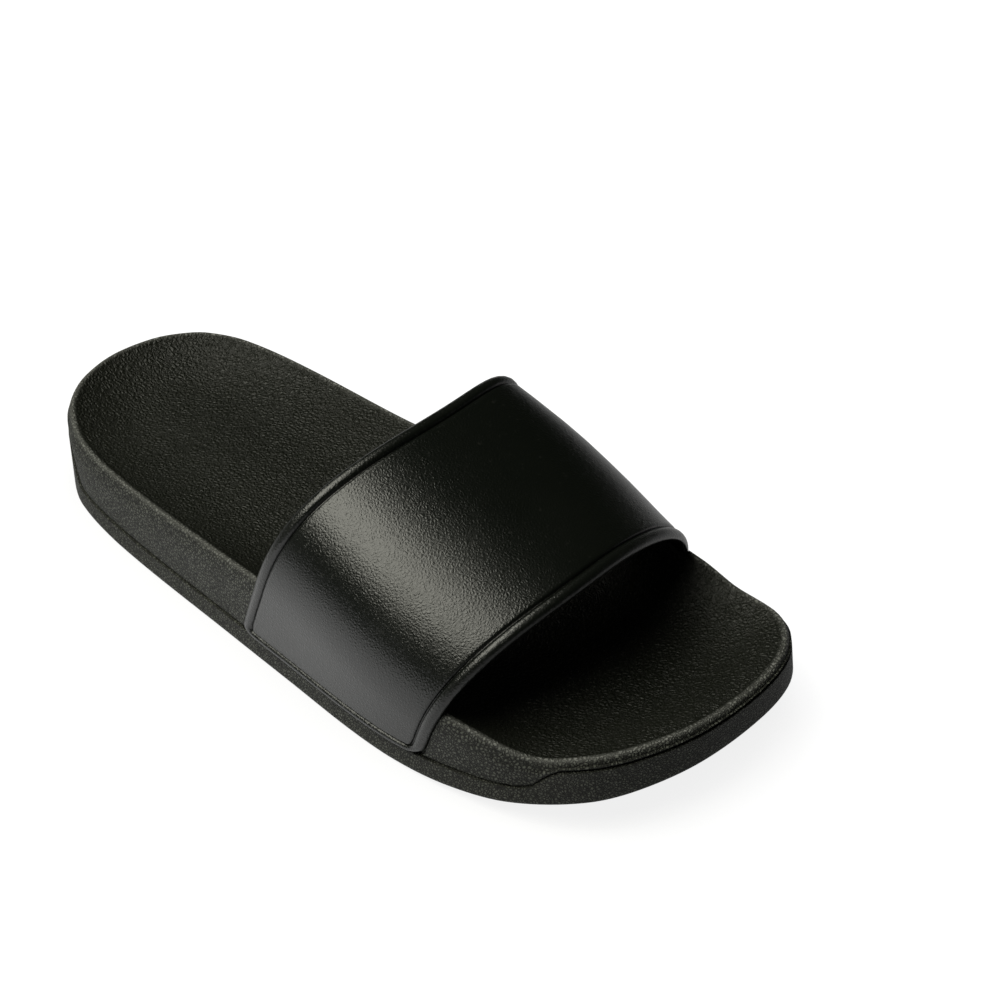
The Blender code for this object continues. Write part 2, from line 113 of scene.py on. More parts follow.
def roundThrough(points, steps):
    # closed curve through points, its tangents set by the chords
    count = len(points)
    chords = [(points[(i + 1) % count] - points[i]).length for i in range(count)]
    tangents = [(points[(i + 1) % count] - points[i - 1]) / (chords[i] + chords[i - 1]) for i in range(count)]
    curve = []
    for i in range(count):
        after = (i + 1) % count
        for step in range(steps):
            t = step / steps
            curve.append(
                points[i] * ((1 + 2 * t) * (1 - t) ** 2)
                + points[after] * ((3 - 2 * t) * t ** 2)
                + tangents[i] * (chords[i] * t * (1 - t) ** 2)
                - tangents[after] * (chords[i] * (1 - t) * t ** 2)
            )
    return curve


def evenly(curve, count):
    # places at even distances along an open run, without its last point
    runs = [0.0]
    for start, end in zip(curve, curve[1:]):
        runs.append(runs[-1] + (end - start).length)
    places = []
    for step in range(count):
        target = runs[-1] * step / count
        span = min(max(bisect_right(runs, target), 1), len(curve) - 1) - 1
        share = (target - runs[span]) / (runs[span + 1] - runs[span])
        places.append(curve[span].lerp(curve[span + 1], share))
    return places


def outlineRing(sideSteps):
    # outline places and outward directions: heel tip, outer side, toe tip, inner side
    spanSteps = 32
    curve = roundThrough(outlineCorners(), spanSteps)
    toe = (len(sole["outline"]) + 1) * spanSteps
    places = evenly(curve[:toe + 1], sideSteps) + evenly(curve[toe:] + curve[:1], sideSteps)
    outwards = []
    for i, place in enumerate(places):
        run = places[(i + 1) % len(places)] - places[i - 1]
        outwards.append(Vector((run.y, -run.x)).normalized())
    return places, outwards


ringPlaces, ringOutwards = outlineRing(sole["sideSteps"])
ringCount = len(ringPlaces)

fineFactor = 6
finePlaces, fineOutwards = outlineRing(sole["sideSteps"] * fineFactor)
outlineTree = kdtree.KDTree(len(finePlaces))
for number, place in enumerate(finePlaces):
    outlineTree.insert((place.x, place.y, 0.0), number)
outlineTree.balance()


def sideColumn(index):
    return 1 if index <= sole["sideSteps"] else 2


def alongAt(index):
    return ringPlaces[index].y / sole["length"]


@lru_cache(maxsize=None)
def rimHeight(index):
    return sole["heelHeight"] * curveAt(sole["rim"], sideColumn(index), alongAt(index))


def treadHeight(y):
    along = y / sole["length"]
    spring = max(along - sole["springStart"], 0.0) / (1 - sole["springStart"])
    lift = max(sole["liftEnd"] - along, 0.0) / sole["liftEnd"]
    return sole["toeSpring"] * spring ** 2 + sole["heelLift"] * lift ** 2


def firstRing(bm, placeAt):
    ring = bmesh.ops.create_circle(bm, cap_ends=False, radius=sole["halfWidth"], segments=ringCount)["verts"]
    for index, vert in enumerate(ring):
        vert.co = placeAt(index)
    return ring


def nextRing(bm, ring, placeAt, finish):
    # extrudes a ring and lays the new one where it belongs
    edges = [bm.edges.get((ring[i - 1], ring[i])) for i in range(len(ring))]
    made = bmesh.ops.extrude_edge_only(bm, edges=edges)["geom"]
    fresh = {item for item in made if isinstance(item, bmesh.types.BMVert)}
    for item in made:
        if isinstance(item, bmesh.types.BMFace):
            item.material_index = finish
    grown = [next(e.other_vert(v) for e in v.link_edges if e.other_vert(v) in fresh) for v in ring]
    for index, vert in enumerate(grown):
        vert.co = placeAt(index)
    return grown


def fillRing(bm, ring, columns, heightAt, finish):
    # grid from the heel end of a ring to its toe end, then each new vertex is laid on the surface
    half = columns // 2
    toe = sole["sideSteps"]
    heelRail = [bm.edges.get((ring[i - 1], ring[i])) for i in range(1 - half, half + 1)]
    toeRail = [bm.edges.get((ring[i - 1], ring[i])) for i in range(toe + 1 - half, toe + half + 1)]
    made = bmesh.ops.grid_fill(bm, edges=heelRail + toeRail, mat_nr=finish, use_smooth=True)["faces"]
    edge = set(ring)
    for vert in {v for face in made for v in face.verts if v not in edge}:
        vert.co.z = heightAt(vert.co)


def placedRing(inset, heightAt):
    # gives a function from ring index to place, at one inset from the outline
    def placeAt(index):
        flat = ringPlaces[index] - ringOutwards[index] * inset
        return Vector((flat.x, flat.y, heightAt(index, flat.y)))
    return placeAt


def finishPiece(name, bm, materials):
    bmesh.ops.remove_doubles(bm, verts=bm.verts, dist=1e-6)
    bmesh.ops.recalc_face_normals(bm, faces=bm.faces)
    bmesh.ops.translate(bm, verts=bm.verts, vec=(*sole["middle"], 0.0))
    mesh = bpy.data.meshes.new(name)
    bm.to_mesh(mesh)
    bm.free()
    for material in materials:
        mesh.materials.append(material)
    mesh.shade_smooth()
    piece = bpy.data.objects.new(name, mesh)
    bpy.context.scene.collection.objects.link(piece)
    return piece


def bakeModifiers(piece):
    # keeps what the modifiers make as the piece's own mesh
    seen = piece.evaluated_get(bpy.context.evaluated_depsgraph_get())
    shaped = bpy.data.meshes.new_from_object(seen)
    piece.modifiers.clear()
    piece.data = shaped
    shaped.name = piece.name


# Shader groups shared by the finishes. Cells are counted per metre, and the other
# counts below are shares of them.
groupShape = {
    "pebbles": {
        "wanderCells": 0.55, "smallCells": 2.1, "largeDome": 0.42, "smallDome": 0.40,
        "height": 0.7, "creaseWidth": 0.10,
    },
    "skin": {"poreCells": 0.8, "poreShare": 0.5, "poreSoftness": 0.6},
    "handling": {"cloudSpan": (0.3, 0.7), "speckCells": 24.0, "speckSpan": (0.66, 0.78)},
    "treadCuts": {"lean": 0.7, "cutSpan": (0.10, 0.17), "downSpan": (-0.97, -0.90)},
    # how the pebbles' height paints a highlight onto their tops and breaks up the painted highlight along the
    # rubbed line
    "tops": {"domeHighlightSpan": (0.12, 0.78), "blotchSpan": (0.10, 0.75), "blotchLow": 0.30, "skinRough": 0.55},
}


def makeGroup(name, inputs, outputs):
    tree = bpy.data.node_groups.new(name, "ShaderNodeTree")
    for label, kind, value in inputs:
        socket = tree.interface.new_socket(name=label, in_out="INPUT", socket_type=kind)
        if value is not None:
            socket.default_value = value
    for label, kind in outputs:
        tree.interface.new_socket(name=label, in_out="OUTPUT", socket_type=kind)
    return tree, tree.nodes.new("NodeGroupInput"), tree.nodes.new("NodeGroupOutput")


def addNode(tree, kind, settings=None, values=None):
    node = tree.nodes.new(kind)
    for label, value in (settings or {}).items():
        setattr(node, label, value)
    for label, value in (values or {}).items():
        if isinstance(value, bpy.types.NodeSocket):
            tree.links.new(value, node.inputs[label])
        else:
            node.inputs[label].default_value = value
    return node


def maths(tree, operation, *values, clamp=False):
    settings = {"operation": operation, "use_clamp": clamp}
    return addNode(tree, "ShaderNodeMath", settings, dict(enumerate(values))).outputs[0]


def vectorMaths(tree, operation, values):
    return addNode(tree, "ShaderNodeVectorMath", {"operation": operation}, values)


def mapped(tree, value, fromLow, fromHigh, toLow, toHigh, smooth=True):
    settings = {"interpolation_type": "SMOOTHSTEP" if smooth else "LINEAR"}
    spans = {"Value": value, "From Min": fromLow, "From Max": fromHigh, "To Min": toLow, "To Max": toHigh}
    return addNode(tree, "ShaderNodeMapRange", settings, spans).outputs["Result"]


def makePebbleGroup():
    # leather-like pebbles: rounded cells of two sizes with wandering creases
    shape = groupShape["pebbles"]
    tree, given, put = makeGroup(
        "pebbleGrain",
        (("Vector", "NodeSocketVector", None), ("Cells", "NodeSocketFloat", 600.0),
         ("Wander", "NodeSocketFloat", 0.5), ("Small", "NodeSocketFloat", 0.4)),
        (("Height", "NodeSocketFloat"), ("Crease", "NodeSocketFloat")),
    )
    place = given.outputs["Vector"]
    cells = given.outputs["Cells"]
    looseCells = maths(tree, "MULTIPLY", cells, shape["wanderCells"])
    loose = addNode(tree, "ShaderNodeTexNoise", {}, {
        "Vector": place, "Scale": looseCells, "Detail": 2.0, "Roughness": 0.6})
    away = vectorMaths(tree, "SUBTRACT", {0: loose.outputs["Color"], 1: (0.5, 0.5, 0.5)})
    amount = maths(tree, "DIVIDE", given.outputs["Wander"], cells)
    push = vectorMaths(tree, "SCALE", {0: away.outputs["Vector"], "Scale": amount})
    moved = vectorMaths(tree, "ADD", {0: place, 1: push.outputs["Vector"]}).outputs["Vector"]
    edges = {"feature": "DISTANCE_TO_EDGE"}
    large = addNode(tree, "ShaderNodeTexVoronoi", edges, {"Vector": moved, "Scale": cells})
    smallCells = maths(tree, "MULTIPLY", cells, shape["smallCells"])
    small = addNode(tree, "ShaderNodeTexVoronoi", edges, {"Vector": moved, "Scale": smallCells})
    domeLarge = mapped(tree, large.outputs["Distance"], 0.0, shape["largeDome"], 0.0, 1.0)
    domeSmall = mapped(tree, small.outputs["Distance"], 0.0, shape["smallDome"], 0.0, 1.0)
    both = maths(tree, "MULTIPLY_ADD", domeSmall, given.outputs["Small"], domeLarge)
    crease = mapped(tree, large.outputs["Distance"], 0.0, shape["creaseWidth"], 1.0, 0.0)
    tree.links.new(maths(tree, "MULTIPLY", both, shape["height"]), put.inputs["Height"])
    tree.links.new(crease, put.inputs["Crease"])
    return tree


def makeSkinGroup():
    # fine soft unevenness of a moulded or pressed surface
    shape = groupShape["skin"]
    tree, given, put = makeGroup(
        "fineSkin",
        (("Vector", "NodeSocketVector", None), ("Cells", "NodeSocketFloat", 1500.0),
         ("Rough", "NodeSocketFloat", 0.5)),
        (("Height", "NodeSocketFloat"),),
    )
    place = given.outputs["Vector"]
    soft = addNode(tree, "ShaderNodeTexNoise", {}, {
        "Vector": place, "Scale": given.outputs["Cells"], "Detail": 3.0, "Roughness": given.outputs["Rough"]})
    poreCells = maths(tree, "MULTIPLY", given.outputs["Cells"], shape["poreCells"])
    pores = addNode(tree, "ShaderNodeTexVoronoi", {"feature": "SMOOTH_F1"}, {
        "Vector": place, "Scale": poreCells, "Smoothness": shape["poreSoftness"]})
    height = maths(tree, "MULTIPLY_ADD", pores.outputs["Distance"], shape["poreShare"], soft.outputs["Fac"])
    tree.links.new(height, put.inputs["Height"])
    return tree


def makeHandlingGroup():
    # broad cloudy tone and thin dust, as black goods show under studio light
    shape = groupShape["handling"]
    tree, given, put = makeGroup(
        "handling",
        (("Vector", "NodeSocketVector", None), ("Cells", "NodeSocketFloat", 30.0),
         ("Dust", "NodeSocketFloat", 0.5)),
        (("Cloud", "NodeSocketFloat"), ("Dust", "NodeSocketFloat")),
    )
    cloud = addNode(tree, "ShaderNodeTexNoise", {}, {
        "Vector": given.outputs["Vector"], "Scale": given.outputs["Cells"], "Detail": 4.0, "Roughness": 0.55})
    speckCells = maths(tree, "MULTIPLY", given.outputs["Cells"], shape["speckCells"])
    specks = addNode(tree, "ShaderNodeTexNoise", {}, {
        "Vector": given.outputs["Vector"], "Scale": speckCells, "Detail": 2.0, "Roughness": 0.5})
    tree.links.new(mapped(tree, cloud.outputs["Fac"], *shape["cloudSpan"], 0.0, 1.0), put.inputs["Cloud"])
    thin = mapped(tree, specks.outputs["Fac"], *shape["speckSpan"], 0.0, 1.0)
    tree.links.new(maths(tree, "MULTIPLY", thin, given.outputs["Dust"]), put.inputs["Dust"])
    return tree


def makeTreadGroup():
    # herringbone cuts over faces that look down
    shape = groupShape["treadCuts"]
    tree, given, put = makeGroup(
        "treadCuts",
        (("Vector", "NodeSocketVector", None), ("Pitch", "NodeSocketFloat", 0.006),
         ("Zigzag", "NodeSocketFloat", 0.018)),
        (("Height", "NodeSocketFloat"),),
    )
    split = addNode(tree, "ShaderNodeSeparateXYZ", {}, {"Vector": given.outputs["Vector"]})
    aside = maths(tree, "PINGPONG", split.outputs["X"], maths(tree, "MULTIPLY", given.outputs["Zigzag"], 0.5))
    run = maths(tree, "MULTIPLY_ADD", aside, shape["lean"], split.outputs["Y"])
    over = maths(tree, "PINGPONG", maths(tree, "DIVIDE", run, given.outputs["Pitch"]), 0.5)
    block = mapped(tree, over, *shape["cutSpan"], 0.0, 1.0)
    outward = addNode(tree, "ShaderNodeNewGeometry").outputs["True Normal"]
    facing = addNode(tree, "ShaderNodeSeparateXYZ", {}, {"Vector": outward})
    down = mapped(tree, facing.outputs["Z"], *shape["downSpan"], 1.0, 0.0)
    tree.links.new(maths(tree, "MULTIPLY", block, down), put.inputs["Height"])
    return tree


pebbleGrain = makePebbleGroup()
treadCuts = makeTreadGroup()
fineSkin = makeSkinGroup()
handling = makeHandlingGroup()


def placeGroup(tree, group, values):
    return addNode(tree, "ShaderNodeGroup", {"node_tree": group}, values)


def mixColours(tree, share, low, high):
    node = addNode(tree, "ShaderNodeMix", {"data_type": "RGBA"})
    for socket, value in ((node.inputs[0], share), (node.inputs[6], low), (node.inputs[7], high)):
        if isinstance(value, bpy.types.NodeSocket):
            tree.links.new(value, socket)
        else:
            socket.default_value = value if isinstance(value, float) else (*value, 1.0)
    return node.outputs[2]


def makeFinish(name, look):
    # one black finish: tone, gloss and relief from the shared groups, with a painted highlight on pebble tops
    # and rubbed ridges and painted shade in the creases
    tops = groupShape["tops"]
    material = bpy.data.materials.new(name)
    material.use_nodes = True
    tree = material.node_tree
    shader = tree.nodes["Principled BSDF"]
    place = addNode(tree, "ShaderNodeTexCoord").outputs["Object"]
    tone = placeGroup(tree, handling, {"Vector": place, "Cells": look["cloudCells"], "Dust": look["dust"]})
    pebbles = placeGroup(tree, pebbleGrain, {
        "Vector": place, "Cells": look["pebbleCells"], "Wander": look["wander"], "Small": look["small"]})
    skin = placeGroup(tree, fineSkin, {
        "Vector": place, "Cells": look["skinCells"], "Rough": tops["skinRough"]})
    attribute = {"attribute_type": "GEOMETRY", "attribute_name": "rubSheen"}
    rubSheen = addNode(tree, "ShaderNodeAttribute", attribute).outputs["Fac"]
    base = mixColours(tree, tone.outputs["Cloud"], look["dark"], look["light"])
    # painted highlight: the pebble tops are made lighter, as if they caught the light
    domeHighlightShare = mapped(tree, pebbles.outputs["Height"], *tops["domeHighlightSpan"], 0.0, look["domeHighlightAmount"])
    domeLit = mixColours(tree, domeHighlightShare, base, look["domeHighlight"])
    # painted shade: the pebble creases are darker, where shade would fall
    creaseShare = maths(tree, "MULTIPLY", pebbles.outputs["Crease"], look["creaseShade"])
    creaseShaded = mixColours(tree, creaseShare, domeLit, look["creaseShadeTone"])
    # painted highlight along the rubbed ridges, broken up by the pebbles, which also stands for wear there
    blotch = mapped(tree, pebbles.outputs["Height"], *tops["blotchSpan"], tops["blotchLow"], 1.0)
    rubSheenShare = maths(tree, "MULTIPLY", maths(tree, "MULTIPLY", rubSheen, blotch), look["rubSheenTone"])
    rubSheened = mixColours(tree, rubSheenShare, creaseShaded, look["wornSheen"])
    dusty = mixColours(tree, tone.outputs["Dust"], rubSheened, look["dustTone"])
    tree.links.new(dusty, shader.inputs["Base Color"])
    glossiest = look["rough"] - look["roughSwing"]
    dullest = look["rough"] + look["roughSwing"]
    gloss = mapped(tree, tone.outputs["Cloud"], 0.0, 1.0, glossiest, dullest, False)
    gloss = maths(tree, "MULTIPLY_ADD", pebbles.outputs["Crease"], look["creaseRough"], gloss)
    gloss = maths(tree, "MULTIPLY_ADD", rubSheen, look["rubGloss"], gloss, clamp=True)
    tree.links.new(gloss, shader.inputs["Roughness"])
    pebbleHeight = maths(tree, "MULTIPLY", pebbles.outputs["Height"], look["pebbleRelief"])
    relief = maths(tree, "MULTIPLY_ADD", skin.outputs["Height"], look["skinRelief"], pebbleHeight)
    if "treadRelief" in look:
        tread = placeGroup(tree, treadCuts, {
            "Vector": place, "Pitch": look["treadPitch"], "Zigzag": look["treadZigzag"]})
        relief = maths(tree, "MULTIPLY_ADD", tread.outputs["Height"], look["treadRelief"], relief)
    bump = addNode(tree, "ShaderNodeBump", {}, {"Strength": 1.0, "Distance": 1.0, "Height": relief})
    tree.links.new(bump.outputs["Normal"], shader.inputs["Normal"])
    for label, value in look["shader"].items():
        shader.inputs[label].default_value = value
    return material


# Outsole
outsoleShape = {
    "seatHeight": 0.0055,
    "sideHeight": 0.0066,              # heights of the side above the tread, here and at the bumpers
    "heelBumper": 0.0215,
    "toeBumper": 0.0125,
    "toeTipBumper": 0.0103,
    "toeStepEnd": 0.905,
    "lipWall": 0.0035,
    "flare": 0.0006,
    "treadFlare": 0.0017,
    "heelFlare": 0.0006,
    "heelFlareEnd": 0.20,
    "treadRound": 0.0012,
    "partingRound": 0.00025,
    "sideRows": 4,
    # rounding of the tread's edge: inwards, up, as shares of treadRound
    "treadTurn": ((0.66, 0.02), (0.36, 0.14), (0.12, 0.42), (0.01, 0.72), (0.0, 1.0)),
    # rounding of the upper edge: out as a share of the flare, down in partingRounds
    "upperTurn": ((1.0, 2.0), (0.94, 1.1), (0.75, 0.45), (0.3, 0.1)),
    "sunkInset": 3.0,                  # where the upper face begins to sink, in partingRounds
    # open slit along the front edge of the heel bumper: shares of the length, and its sink
    "slitStart": 0.030,
    "slitGrowth": 0.055,
    "slitEnd": 0.106,
    "slitClosing": 0.010,
    "slitSink": 0.0016,
    "treadColumns": 36,
    # along, share of the heel bumper, share of the toe bumper
    "steps": (
        (0.000, 1.00, 0.00), (0.045, 0.95, 0.00), (0.075, 0.45, 0.00), (0.105, 0.00, 0.00),
        (0.780, 0.00, 0.00), (0.862, 0.00, -0.15), (0.878, 0.00, 0.03), (0.890, 0.00, 0.62),
        (0.905, 0.00, 1.00), (1.000, 0.00, 1.00),
    ),
    "finish": {
        # this finish paints shade into the pebble creases and a highlight onto the pebble tops
        "dark": (0.0044, 0.0052, 0.0024), "light": (0.0060, 0.0068, 0.0036), "creaseShadeTone": (0.002, 0.002, 0.0012),
        "wornSheen": (0.03, 0.03, 0.028), "dustTone": (0.05, 0.05, 0.045),
        "domeHighlight": (0.074, 0.078, 0.064), "domeHighlightAmount": 1.0,
        "cloudCells": 38.0, "dust": 0.25, "pebbleCells": 1050.0, "wander": 0.7, "small": 0.5,
        "creaseShade": 0.8,
        "skinCells": 2600.0, "rubSheenTone": 0.5, "rough": 0.56, "roughSwing": 0.03,
        "creaseRough": 0.1, "rubGloss": -0.04,
        "pebbleRelief": 0.00034, "skinRelief": 0.00006,
        "treadRelief": 0.0009, "treadPitch": 0.0056, "treadZigzag": 0.020,
        "shader": {"Specular IOR Level": 0.30, "Metallic": 0.0},
    },
}


def sideStep(along):
    # height of the outsole's side above its own tread
    shape = outsoleShape
    fade = max(along - shape["toeStepEnd"], 0.0) / (1 - shape["toeStepEnd"])
    bumper = mix(shape["toeBumper"], shape["toeTipBumper"], fade ** 2)
    heel = curveAt(shape["steps"], 1, along)
    toe = curveAt(shape["steps"], 2, along)
    low = shape["sideHeight"]
    return low + heel * (shape["heelBumper"] - low) + toe * (bumper - low)


@lru_cache(maxsize=None)
def ringStep(index):
    return sideStep(alongAt(index))


def stepRing(inset, rise):
    return placedRing(inset, lambda index, y: treadHeight(y) + ringStep(index) + rise)


def treadRing(inset, rise):
    return placedRing(inset, lambda index, y: treadHeight(y) + rise)


def edgeRing(inwards, rise):
    # ring on the tread's rounded edge, inwards from its widest line
    shape = outsoleShape

    def placeAt(index):
        grown = min(alongAt(index) / shape["heelFlareEnd"], 1.0)
        flare = mix(shape["heelFlare"], shape["treadFlare"], grown)
        flat = ringPlaces[index] - ringOutwards[index] * (inwards - flare)
        return Vector((flat.x, flat.y, treadHeight(flat.y) + rise))
    return placeAt


def sideRing(share):
    # ring on the outsole's leaning side, from the tread's edge to below the groove
    shape = outsoleShape
    below = edgeRing(0.0, shape["treadRound"])

    def placeAt(index):
        flat = ringPlaces[index] + ringOutwards[index] * shape["flare"]
        height = treadHeight(flat.y) + ringStep(index) - 2 * shape["partingRound"]
        return below(index).lerp(Vector((flat.x, flat.y, height)), share)
    return placeAt


def slitShare(index):
    # how far the slit is open: it widens towards its lower end and closes quickly there
    shape = outsoleShape
    along = alongAt(index)
    grown = min(max((along - shape["slitStart"]) / shape["slitGrowth"], 0.0), 1.0)
    left = min(max((shape["slitEnd"] - along) / shape["slitClosing"], 0.0), 1.0)
    return grown * left


def sunkRing(inset):
    # ring on the outsole's upper face, sunk where the slit opens
    level = stepRing(inset, 0.0)
    return lambda index: level(index) - Vector((0.0, 0.0, slitShare(index) * outsoleShape["slitSink"]))


def makeOutsole():
    shape = outsoleShape
    flare = shape["flare"]
    turn = shape["treadRound"]
    lip = shape["partingRound"]
    bm = bmesh.new()
    tread = firstRing(bm, edgeRing(turn, 0.0))
    ring = tread
    for inwards, rise in shape["treadTurn"]:
        ring = nextRing(bm, ring, edgeRing(inwards * turn, rise * turn), 0)
    for row in range(1, shape["sideRows"]):
        ring = nextRing(bm, ring, sideRing(row / shape["sideRows"]), 0)
    for out, down in shape["upperTurn"]:
        ring = nextRing(bm, ring, stepRing(-flare * out, -down * lip), 0)
    ring = nextRing(bm, ring, stepRing(lip, 0.0), 0)
    ring = nextRing(bm, ring, sunkRing(lip * shape["sunkInset"]), 0)
    ring = nextRing(bm, ring, sunkRing(shape["lipWall"]), 0)
    seat = nextRing(bm, ring, treadRing(shape["lipWall"] + lip, shape["seatHeight"]), 0)
    fillRing(bm, tread, shape["treadColumns"], lambda place: treadHeight(place.y), 0)
    fillRing(bm, seat, shape["treadColumns"], lambda place: treadHeight(place.y) + shape["seatHeight"], 0)
    return finishPiece("outsoleBody", bm, [makeFinish("moulded rubber", shape["finish"])])


# Midsole with its footbed
midsoleShape = {
    "seatGap": 0.0003,
    "grooveDepth": 0.0016,
    "grooveRise": 0.0003,              # how much wider the groove opens than its gap
    "slitRise": 0.0032,                # how much further it opens at the slit
    "slitDepth": 0.0050,               # how much deeper it is there
    "edgeTurn": (0.3, 0.7),            # rounding of the lower edge, in partingRounds
    "wallRows": 6,
    "bulge": 0.0003,
    "lipRound": 0.0030,
    "lipSlope": 0.0038,
    "lipDrop": 0.0007,
    "bedColumns": 36,
    # inset in mm, drop as a share of the lip's rounding
    "lipProfile": ((0.38, 1.0), (0.50, 0.74), (0.72, 0.46), (1.02, 0.22), (1.42, 0.06), (1.90, 0.0)),
    "innerLip": ((2.35, 0.008), (2.85, 0.045), (3.35, 0.12)),
    "wallRubSheen": 3.2,                    # how quickly the rubbed line, with its painted highlight, fades down each side of the lip
    "innerRubSheen": 14,
    "bedInsets": (3.8, 4.4, 5.1, 6.0, 7.1, 8.4, 10.0, 11.8, 13.8),
    # along, middle height, reach of the outer slope, reach of the inner slope
    "bed": (
        (0.00, 0.760, 0.44, 0.44), (0.12, 0.740, 0.44, 0.46), (0.35, 0.790, 0.42, 0.74),
        (0.50, 0.750, 0.42, 0.76), (0.68, 0.600, 0.38, 0.50), (0.80, 0.590, 0.36, 0.44),
        (0.92, 0.710, 0.40, 0.42), (1.00, 0.900, 0.40, 0.40),
    ),
    "wallFinish": {
        # this finish paints shade into the pebble creases, a highlight onto the pebble tops and a strong
        # highlight along the lip, which also stands for wear
        "dark": (0.0044, 0.0052, 0.0024), "light": (0.0060, 0.0068, 0.0036), "creaseShadeTone": (0.002, 0.002, 0.0012),
        "wornSheen": (0.215, 0.218, 0.208), "dustTone": (0.05, 0.05, 0.045),
        "domeHighlight": (0.086, 0.091, 0.075), "domeHighlightAmount": 1.0,
        "cloudCells": 32.0, "dust": 0.25, "pebbleCells": 880.0, "wander": 0.8, "small": 0.5,
        "creaseShade": 0.8,
        "skinCells": 2300.0, "rubSheenTone": 0.9, "rough": 0.56, "roughSwing": 0.03,
        "creaseRough": 0.12, "rubGloss": -0.18,
        "pebbleRelief": 0.00036, "skinRelief": 0.00006,
        "shader": {"Specular IOR Level": 0.30, "Metallic": 0.0},
    },
    "bedFinish": {
        # this finish paints shade into the pebble creases, a slight highlight onto the pebble tops and a
        # strong highlight along the inner lip, which also stands for wear
        "dark": (0.0036, 0.0046, 0.0018), "light": (0.0056, 0.0066, 0.0034), "creaseShadeTone": (0.0012, 0.0012, 0.0006),
        "wornSheen": (0.195, 0.198, 0.188), "dustTone": (0.04, 0.04, 0.036),
        "domeHighlight": (0.007, 0.008, 0.005), "domeHighlightAmount": 1.0,
        "cloudCells": 26.0, "dust": 0.2, "pebbleCells": 640.0, "wander": 0.9, "small": 0.35,
        "creaseShade": 0.6,
        "skinCells": 2200.0, "rubSheenTone": 0.9, "rough": 0.46, "roughSwing": 0.04,
        "creaseRough": 0.15, "rubGloss": -0.14,
        "pebbleRelief": 0.00036, "skinRelief": 0.00005,
        "shader": {"Specular IOR Level": 0.35, "Metallic": 0.0},
    },
}


def lipReach(index, y):
    low = treadHeight(y) + ringStep(index)
    return min(midsoleShape["lipRound"], (rimHeight(index) - low) / 2)


def wallLow(index, y):
    shape = midsoleShape
    opening = shape["seatGap"] + shape["grooveRise"] + slitShare(index) * shape["slitRise"]
    return treadHeight(y) + ringStep(index) + opening + outsoleShape["partingRound"]


def grooveRing(inset, rise):
    # the groove runs deeper where the slit opens
    def placeAt(index):
        depth = inset + slitShare(index) * midsoleShape["slitDepth"]
        flat = ringPlaces[index] - ringOutwards[index] * depth
        return Vector((flat.x, flat.y, treadHeight(flat.y) + ringStep(index) + rise))
    return placeAt


def wallRing(inset, share):
    def heightAt(index, y):
        return mix(wallLow(index, y), rimHeight(index) - lipReach(index, y), share)
    return placedRing(inset, heightAt)


def lipRing(inset, drop):
    return placedRing(inset, lambda index, y: rimHeight(index) - drop * lipReach(index, y))


def bedSurface(place, index, column, inset):
    shape = midsoleShape
    reach = sole["halfWidth"] * curveAt(shape["bed"], column, finePlaces[index].y / sole["length"])
    slope = max(1 - max(inset - shape["lipSlope"], 0.0) / reach, 0.0) ** 2
    middle = sole["heelHeight"] * curveAt(shape["bed"], 1, place.y / sole["length"])
    rim = sole["heelHeight"] * curveAt(sole["rim"], column - 1, finePlaces[index].y / sole["length"])
    return mix(middle, rim - shape["lipDrop"], slope)


def bedHeight(place):
    found, index, far = outlineTree.find((place.x, place.y, 0.0))
    column = 2 if index <= sole["sideSteps"] * fineFactor else 3
    return bedSurface(place, index, column, far)


def bedRing(inset):
    def placeAt(index):
        flat = ringPlaces[index] - ringOutwards[index] * inset
        fine = index * fineFactor
        height = bedSurface(flat, fine, sideColumn(index) + 1, inset)
        return Vector((flat.x, flat.y, height))
    return placeAt


def makeMidsole():
    shape = midsoleShape
    lip = outsoleShape["partingRound"]
    gap = shape["seatGap"]
    wall = outsoleShape["lipWall"]
    bm = bmesh.new()
    rubSheen = bm.verts.layers.float.new("rubSheen")
    seat = firstRing(bm, treadRing(wall + lip + gap, outsoleShape["seatHeight"] + gap))
    ring = nextRing(bm, seat, stepRing(wall + gap, gap), 0)
    floorAt = grooveRing(shape["grooveDepth"], gap)

    def roofAt(index):
        opening = shape["grooveRise"] + slitShare(index) * shape["slitRise"]
        return floorAt(index) + Vector((0.0, 0.0, opening))

    turnIn, turnDown = shape["edgeTurn"]
    ring = nextRing(bm, ring, floorAt, 0)
    ring = nextRing(bm, ring, roofAt, 0)
    ring = nextRing(bm, ring, placedRing(lip, lambda index, y: wallLow(index, y) - lip), 0)
    turned = placedRing(lip * turnIn, lambda index, y: wallLow(index, y) - lip * turnDown)
    ring = nextRing(bm, ring, turned, 0)
    for row in range(shape["wallRows"]):
        share = row / shape["wallRows"]
        ring = nextRing(bm, ring, wallRing(-shape["bulge"] * math.sin(math.pi * share), share), 0)
    # the rub mask along the lip sets where the finish paints a highlight, which also stands for wear, and
    # where the surface is glossier
    for inset, drop in shape["lipProfile"]:
        ring = nextRing(bm, ring, lipRing(inset / 1000, drop), 0)
        for vert in ring:
            vert[rubSheen] = max(1 - drop * shape["wallRubSheen"], 0.0)
    for inset, drop in shape["innerLip"]:
        ring = nextRing(bm, ring, lipRing(inset / 1000, drop), 1)
        for vert in ring:
            vert[rubSheen] = max(1 - drop * shape["innerRubSheen"], 0.0)
    for inset in shape["bedInsets"]:
        ring = nextRing(bm, ring, bedRing(inset / 1000), 1)
    seatLevel = outsoleShape["seatHeight"] + gap
    fillRing(bm, seat, shape["bedColumns"], lambda place: treadHeight(place.y) + seatLevel, 0)
    fillRing(bm, ring, shape["bedColumns"], bedHeight, 1)
    finishes = [
        makeFinish("moulded foam side", shape["wallFinish"]),
        makeFinish("pebbled footbed", shape["bedFinish"]),
    ]
    return finishPiece("midsoleBody", bm, finishes)


